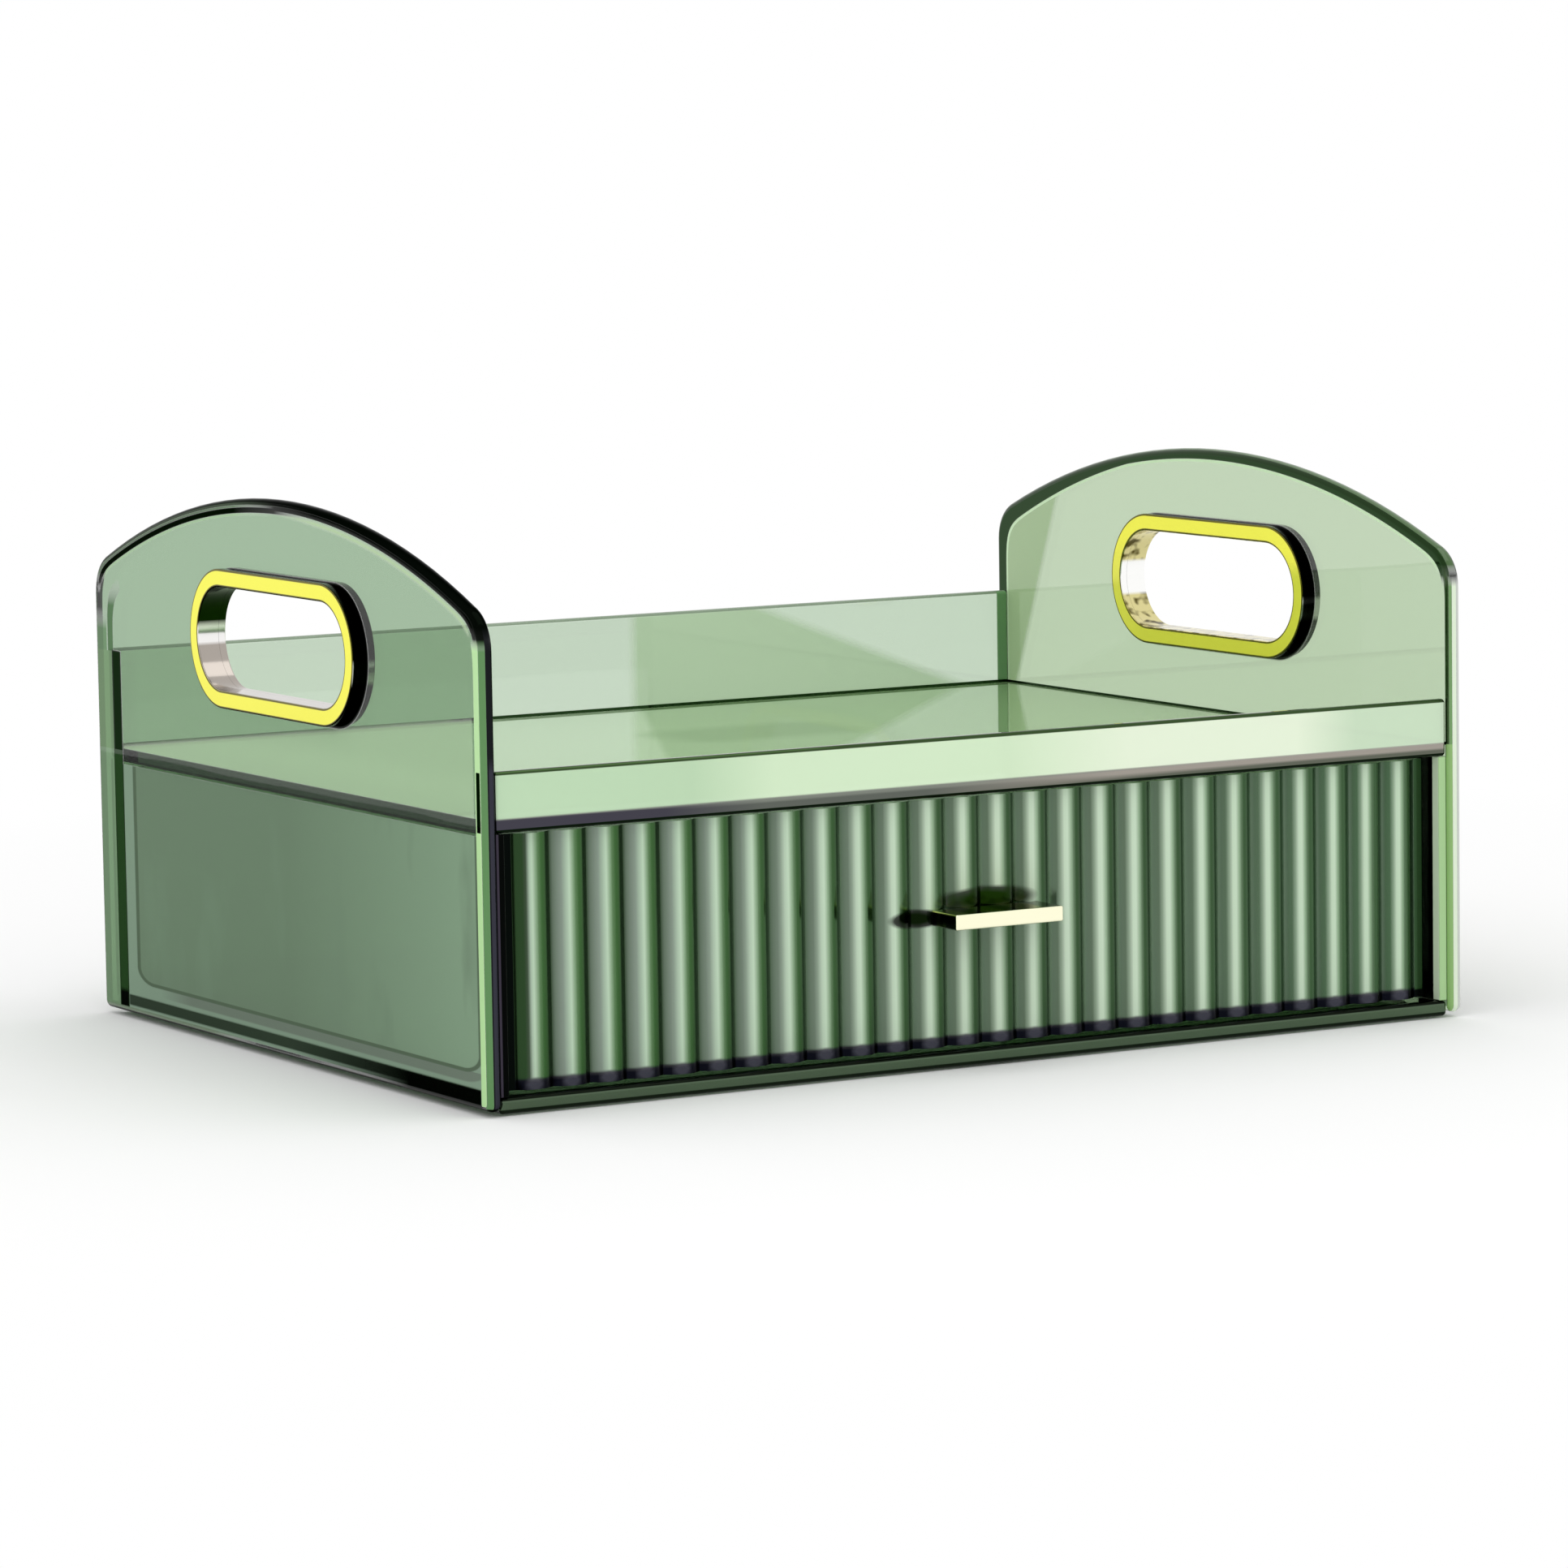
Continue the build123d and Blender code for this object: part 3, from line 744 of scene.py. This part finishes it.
FLUTE_PITCH = (FRONT_HIGH[0] - FRONT_LOW[0] - 2 * FLUTE_MARGIN) / FLUTE_COUNT
FLUTE_FOOT = 8.3  # height where the painted shades stop above the painted dark strip
RIGHT_FROM, FAR_FROM = (-55.0, 55.0), (85.0, 40.0)  # place along X, and softness, of each change
HANDLE_SHADES = [  # painted shade that the handle throws on the flutes: place along X, height above the bar's middle, reach, height, seen colour
    (-21.5, 0.0, 8.5, 2.6, (14, 26, 8)), (1.0, 4.0, 15.0, 3.4, (24, 46, 8)),
]
LEFT_SHADES = [
    (0.00, (44, 70, 40), 0.5), (0.07, (104, 122, 104), 0.4), (0.24, (138, 154, 140), 0.2),
    (0.35, (170, 192, 170), 0.0), (0.44, (192, 216, 190), 0.0), (0.52, (146, 174, 142), 0.0),
    (0.60, (90, 128, 82), 0.5), (0.70, (58, 98, 50), 0.85), (0.80, (48, 86, 40), 0.85),
    (0.89, (26, 58, 20), 0.85), (1.00, (40, 66, 36), 0.5),
]
RIGHT_SHADES = [
    (0.00, (106, 130, 104), 0.0), (0.06, (92, 114, 92), 0.5), (0.16, (92, 112, 90), 0.6),
    (0.25, (152, 174, 149), 0.1), (0.34, (202, 222, 198), 0.0), (0.43, (206, 226, 202), 0.0),
    (0.51, (164, 190, 160), 0.0), (0.60, (100, 128, 96), 0.5), (0.68, (52, 82, 48), 0.85),
    (0.79, (46, 76, 42), 0.85), (0.88, (62, 90, 60), 0.7), (0.96, (104, 128, 102), 0.2),
    (1.00, (106, 130, 104), 0.0),
]
FAR_SHADES = [
    (0.00, (88, 112, 88), 0.2), (0.08, (66, 94, 66), 0.7), (0.18, (72, 102, 72), 0.7),
    (0.26, (136, 162, 134), 0.1), (0.34, (196, 218, 192), 0.0), (0.43, (200, 222, 196), 0.0),
    (0.50, (150, 178, 146), 0.0), (0.58, (86, 116, 82), 0.5), (0.68, (56, 88, 52), 0.85),
    (0.80, (56, 90, 54), 0.85), (0.90, (74, 106, 74), 0.7), (1.00, (88, 112, 88), 0.2),
]


def ramp(tree, value, stops):
    """Colour and mirroring along a value, from stops of place, seen colour and mirroring."""
    node = tree.nodes.new("ShaderNodeValToRGB")
    elements = node.color_ramp.elements
    for stop in stops[1:-1]:
        elements.new(stop[0])
    for element, (position, shade, metal) in zip(elements, stops):
        element.position = position
        element.color = (*(sheen(*shade) if metal else matt_paint(*shade))[:3], metal)
    tree.links.new(value, node.inputs["Fac"])
    return node.outputs["Color"], node.outputs["Alpha"]


def front_zones(phase):
    """Zones over the run of shades. The phase runs from 0 to 1 across each flute."""
    def crest(spot):
        return spot.all(ranged(spot.tree, phase, 0.0, 1.0, 0.16, 0.40),
                        ranged(spot.tree, phase, 1.0, 0.0, 0.46, 0.70))

    def handle_shade(x, lift, reach, height, shade):
        """A soft dark spot of painted shade that the handle throws on the flutes."""
        def mask(spot):
            across = spot.calc("DIVIDE", spot.calc("SUBTRACT", spot.x, x * MM), reach * MM)
            up = spot.calc("SUBTRACT", spot.z, (HANDLE_MIDDLE + lift) * MM)
            up = spot.calc("DIVIDE", up, height * MM)
            return ranged(spot.tree, spot.squares(across, up), 1.0, 0.0, 0.2, 1.2)
        return mask, sheen(*shade), 0.0, 1.0

    first_flank = FRONT_LOW[0] + FLUTE_MARGIN + 3.2
    plain_strip = FRONT_HIGH[0] - FLUTE_MARGIN + 0.1
    # painted shade on the first flank, the handle's painted shade, a painted dark strip at the foot
    # with lighter dashes under the crests, and painted dark ends
    return [
        (lambda s: s.below(s.x, first_flank, 0.9), sheen(42, 68, 38), 0.0, 0.9),
        *(handle_shade(*values) for values in HANDLE_SHADES),
        (lambda s: s.below(s.z, FLUTE_FOOT, 0.7), sheen(16, 17, 26), 0.0, 1.0),
        (lambda s: s.all(s.between(s.z, 6.0, FLUTE_FOOT, 1.0), crest(s)),
         sheen(64, 64, 74), 0.0, 1.0),
        (lambda s: s.above(s.side, plain_strip), sheen(8, 12, 10), 0.0, 1.0),
        (lambda s: s.all(s.above(s.x, plain_strip), s.below(s.x, FRONT_HIGH[0] - 0.3),
                         s.above(s.z, FLUTE_FOOT, 0.5)), sheen(50, 78, 48), 0.0, 0.9),
    ]


def fluted_plastic():
    """Milky plastic with the flutes' light and shade painted on as a run of shades, and clear
    behind them.
    """
    material, tree, output = new_material("fluted_green_plastic")
    shader = tree.nodes.new("ShaderNodeBsdfPrincipled")
    shader.inputs["IOR"].default_value = PLASTIC_IOR
    spot = Spot(tree)
    along = spot.calc("SUBTRACT", spot.x, (FRONT_LOW[0] + FLUTE_MARGIN) * MM)
    phase = spot.calc("FRACT", spot.calc("DIVIDE", along, FLUTE_PITCH * MM))
    colour, metal = ramp(tree, phase, RIGHT_SHADES)
    far_colour, far_metal = ramp(tree, phase, FAR_SHADES)
    far = spot.above(spot.x, *FAR_FROM)
    colour = mixed(tree, far, colour, far_colour)
    metal = mixed(tree, far, metal, far_metal, "FLOAT")
    left_colour, left_metal = ramp(tree, phase, LEFT_SHADES)
    to_right = spot.above(spot.x, *RIGHT_FROM)
    colour = mixed(tree, to_right, left_colour, colour)
    metal = mixed(tree, to_right, left_metal, metal, "FLOAT")
    back = spot.above(spot.y, FRONT_HIGH[1] - 1.0)
    colour = mixed(tree, back, colour, WHITE)
    metal = mixed(tree, back, metal, 0.0, "FLOAT")
    clear = ranged(tree, back, FLUTED_CLEAR, 1.0 - HAZE)
    paint(tree, shader, front_zones(phase), colour, clear, metal)
    finish_plastic(tree, shader, output, FLUTED_ROUGHNESS, FLUTED_WAVE, ABSORBED)
    return material


# Gold: flat faces in lemon yellow, walls painted dark as a painted reflection, and a few painted
# glints
def gold_plating(name, zones):
    """Plated metal with an uneven gloss, and painted zones that stand for what it mirrors."""
    material, tree, output = new_material(name)
    shader = tree.nodes.new("ShaderNodeBsdfPrincipled")
    paint(tree, shader, zones, sheen(*GOLD_DARK_REFLECTION), 0.0, 1.0)
    uneven = ranged(tree, noise(tree, 60.0, 4.0), *GOLD_ROUGHNESS)
    tree.links.new(uneven, shader.inputs["Roughness"])
    tree.links.new(bump(tree, noise(tree, 900.0, 2.0), 0.0001, 0.05), shader.inputs["Normal"])
    tree.links.new(shader.outputs["BSDF"], output.inputs["Surface"])
    return material


def ring_zones(patterned):
    """Zones of a ring, painted reflections: its bore is painted with dark, white and grey bands, or
    a pattern of glints on the right.
    """
    def bore(spot):
        return spot.below(stadium_distance(spot), SLOT_BORE + 0.5, 0.2)

    def face(spot):
        return ranged(spot.tree, spot.facing_side, 0.0, 1.0, 0.80, 0.90)

    def edge(spot):
        distance = stadium_distance(spot)
        return spot.any(spot.below(distance, SLOT_BORE + 0.55, 0.15),
                        spot.above(distance, SLOT_OUTER - 0.55, 0.15))

    def outer_glint(spot):
        return spot.all(spot.no(bore(spot)),
                        spot.between(spot.z, SLOT_HEIGHT - 6.0, SLOT_HEIGHT - 1.5, 1.5))

    def glint_speckle(spot):
        return ranged(spot.tree, noise(spot.tree, 300.0, 1.0), 0.0, 1.0, 0.36, 0.70)

    if patterned:
        inside = [
            (bore, sheen(84, 74, 26), 0.0, 1.0),
            (lambda s: s.all(bore(s), glint_speckle(s)), sheen(220, 210, 150), 0.0, 1.0),
            (lambda s: s.all(bore(s), s.between(s.z, SLOT_HEIGHT - 5.0, SLOT_HEIGHT + 4.0, 1.0)),
             sheen(252, 252, 250), 0.0, 1.0),
        ]
    else:
        inside = [
            (bore, sheen(172, 164, 156), 0.0, 1.0),
            (lambda s: s.all(bore(s), s.above(s.z, SLOT_HEIGHT - 2.0, 1.0)),
             sheen(244, 242, 240), 0.0, 1.0),
            (lambda s: s.all(bore(s), s.above(s.z, SLOT_HEIGHT + 4.0, 1.8)),
             sheen(14, 36, 2), 0.0, 1.0),
        ]
    # the face painted lighter on its upper half, less mirroring on the right ring, with a painted
    # dark line along its edges and a painted glint on the outer wall
    return inside + [
        (outer_glint, sheen(168, 170, 164), 0.0, 1.0),
        (face, GOLD_FACE, 0.0, 0.25 if patterned else 0.55),
        (lambda s: s.all(face(s), s.above(s.z, SLOT_HEIGHT, 12.0)), GOLD_LIT_UPPER_FACE, 0.0, 0.6),
        (lambda s: s.all(face(s), edge(s)), sheen(104, 98, 22), 0.0, 1.0),
    ]


def handle_zones():
    def top(spot):
        return spot.all(spot.above(spot.z, HANDLE_HIGH[2] - 0.4), spot.above(spot.y, HANDLE_FACE))

    def glint(x, reach, shade):
        def mask(spot):
            return spot.all(top(spot), spot.between(spot.x, x - reach, x + reach, 1.5))
        return mask, sheen(*shade), 0.0, 1.0

    def cheek(spot):
        return spot.all(ranged(spot.tree, spot.facing_side, 0.0, 1.0, 0.8, 1.0),
                        spot.between(spot.y, CHEEK_FRONT, CHEEK_BACK, 1.0))

    # painted reflections: the flutes' green on the bar's ends, a dark top with painted glints, and
    # a pale gold front face
    return [
        (cheek, sheen(58, 76, 22), 0.0, 1.0),
        (top, sheen(70, 62, 8), 0.0, 1.0),
        *(glint(*values) for values in GLINTS),
        (lambda s: s.below(s.y, HANDLE_FACE), GOLD_BAR_FACE, 0.0, 1.0),
    ]


def plain_material(name, fixed, grain, roughness):
    """One colour with fixed inputs, and an uneven gloss."""
    material, tree, output = new_material(name)
    shader = tree.nodes.new("ShaderNodeBsdfPrincipled")
    for socket, value in fixed.items():
        shader.inputs[socket].default_value = value
    tree.links.new(ranged(tree, noise(tree, grain, 3.0), *roughness), shader.inputs["Roughness"])
    tree.links.new(shader.outputs["BSDF"], output.inputs["Surface"])
    return material


SOFT_PAD = {"Base Color": (0.86, 0.90, 0.86, 1.0), "Transmission Weight": 0.95, "IOR": 1.15}
SCREW_STEEL = {"Base Color": (0.62, 0.62, 0.60, 1.0), "Metallic": 1.0}

# Materials of the pieces
left_gold = gold_plating("left_ring_gold", ring_zones(patterned=False))
right_gold = gold_plating("right_ring_gold", ring_zones(patterned=True))
by_slot = {
    "clear_green": clear_plastic("clear_green_plastic"),
    "gold_trim": left_gold,
    "soft_pad": plain_material("soft_pad", SOFT_PAD, 400.0, (0.25, 0.40)),
    "screw_steel": plain_material("screw_steel", SCREW_STEEL, 700.0, (0.2, 0.4)),
}
by_node = {
    "left_side_panel": clear_plastic("left_panel_plastic", left_zones(), LEFT_ABSORBED,
                                     LEFT_IOR, LEFT_GLANCE),
    "right_side_panel": clear_plastic("right_panel_plastic", right_zones(), RIGHT_ABSORBED),
    "tray_floor": clear_plastic("tray_floor_plastic", floor_zones()),
    "tray_fence": clear_plastic("tray_fence_plastic", fence_zones()),
    "tray_back_wall": clear_plastic("tray_back_plastic", back_wall_zones()),
    "base_plate": clear_plastic("base_plastic", base_zones()),
    "left_inner_wall": clear_plastic("left_wall_plastic", left_wall_zones()),
    "right_inner_wall": clear_plastic("right_wall_plastic", right_wall_zones()),
    "right_ring_outer": right_gold,
    "right_ring_inner": right_gold,
    "drawer_front": fluted_plastic(),
    "drawer_handle": gold_plating("gold_bar", handle_zones()),
}
slot_of = {part["node"]: part["material_slot"] for part in frame["record"]["subparts"]}
for name, piece in nodes.items():
    piece.data.materials.clear()
    piece.data.materials.append(by_node.get(name, by_slot[slot_of[name]]))


def make_floor():
    """A floor that is matt and pale where the object's shadow lies, and plain white further off."""
    bpy.ops.mesh.primitive_circle_add(vertices=FLOOR_CORNERS, radius=FLOOR_RADIUS,
                                      fill_type="NGON", location=(0, 0, 0))
    floor = bpy.context.object
    floor.name = "studio_floor"
    material, tree, output = new_material("studio_floor")
    matt = tree.nodes.new("ShaderNodeBsdfDiffuse")
    matt.inputs["Color"].default_value = FLOOR_COLOUR
    white = tree.nodes.new("ShaderNodeEmission")
    white.inputs["Color"].default_value = WHITE
    white.inputs["Strength"].default_value = 1.0
    coordinates = tree.nodes.new("ShaderNodeTexCoord")
    distance = tree.nodes.new("ShaderNodeVectorMath")
    distance.operation = "LENGTH"
    tree.links.new(coordinates.outputs["Object"], distance.inputs[0])
    far = ranged(tree, distance.outputs["Value"], 0.0, 1.0, FLOOR_NEAR, FLOOR_FAR)
    mask = math_node(tree, "MULTIPLY", far, looked_at(tree))
    tree.links.new(mixed_shaders(tree, mask, matt, white), output.inputs["Surface"])
    floor.data.materials.append(material)


make_floor()


def make_dark_card():
    """A dark card beside the box, which only the gloss of its lower left side mirrors."""
    middle = (CARD_LEFT + CARD_RIGHT) / 2
    bpy.ops.mesh.primitive_plane_add(size=1.0, location=(middle, CARD_MIDDLE_Y, CARD_HEIGHT))
    card = bpy.context.object
    card.name = "dark_card"
    card.scale = (CARD_RIGHT - CARD_LEFT, CARD_LENGTH, 1.0)
    material, tree, output = new_material("dark_card")
    matt = tree.nodes.new("ShaderNodeBsdfDiffuse")
    tree.links.new(ranged(tree, noise(tree, 3.0), *CARD_GREYS), matt.inputs["Color"])
    tree.links.new(matt.outputs[0], output.inputs["Surface"])
    card.data.materials.append(material)
    card.visible_camera = False
    card.visible_diffuse = False
    card.visible_transmission = False
    card.visible_volume_scatter = False
    card.visible_shadow = False


make_dark_card()


def make_world():
    """Soft light from all round, which is plain white where a ray looks at it."""
    world = bpy.data.worlds.new("studio")
    bpy.context.scene.world = world
    world.use_nodes = True
    tree = world.node_tree
    tree.nodes.clear()
    output = tree.nodes.new("ShaderNodeOutputWorld")
    soft = tree.nodes.new("ShaderNodeBackground")
    soft.inputs["Color"].default_value = WHITE
    soft.inputs["Strength"].default_value = WORLD_STRENGTH
    white = tree.nodes.new("ShaderNodeBackground")
    white.inputs["Color"].default_value = WHITE
    white.inputs["Strength"].default_value = 1.0
    tree.links.new(mixed_shaders(tree, looked_at(tree), soft, white), output.inputs["Surface"])


make_world()


def make_lamp():
    """A weak softbox above the box."""
    data = bpy.data.lights.new("top_softbox", "AREA")
    data.shape = "RECTANGLE"
    data.size, data.size_y = LAMP_SIZE
    data.energy = LAMP_WATTS
    lamp = bpy.data.objects.new("top_softbox", data)
    lamp.location = LAMP_PLACE
    direction = Vector(LAMP_AIM) - Vector(LAMP_PLACE)
    lamp.rotation_euler = direction.to_track_quat("-Z", "Y").to_euler()
    lamp.visible_camera = False
    bpy.context.scene.collection.objects.link(lamp)


make_lamp()


def make_camera():
    box_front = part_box("left_side_panel")[0].y
    aim = Vector((AIM_RIGHT, box_front + AIM_BEHIND_FRONT, AIM_HEIGHT))
    forward = Vector((
        -math.sin(CAMERA_AZIMUTH) * math.cos(CAMERA_ELEVATION),
        math.cos(CAMERA_AZIMUTH) * math.cos(CAMERA_ELEVATION),
        -math.sin(CAMERA_ELEVATION),
    ))
    right = Vector((math.cos(CAMERA_AZIMUTH), math.sin(CAMERA_AZIMUTH), 0.0))
    up = right.cross(forward)
    turned_right = right * math.cos(CAMERA_ROLL) + up * math.sin(CAMERA_ROLL)
    turned_up = up * math.cos(CAMERA_ROLL) - right * math.sin(CAMERA_ROLL)
    axes = Matrix((turned_right, turned_up, -forward)).transposed()
    data = bpy.data.cameras.new("photo_camera")
    data.sensor_width = SENSOR_MM
    data.lens = SENSOR_MM * FOCAL_PIXELS / PHOTO_PIXELS
    data.clip_start = CAMERA_NEAREST
    data.clip_end = CAMERA_FURTHEST
    camera = bpy.data.objects.new("photo_camera", data)
    camera.matrix_world = Matrix.Translation(aim - forward * CAMERA_DISTANCE) @ axes.to_4x4()
    bpy.context.scene.collection.objects.link(camera)
    bpy.context.scene.camera = camera


make_camera()

bpy.context.scene.view_settings.view_transform = "Standard"
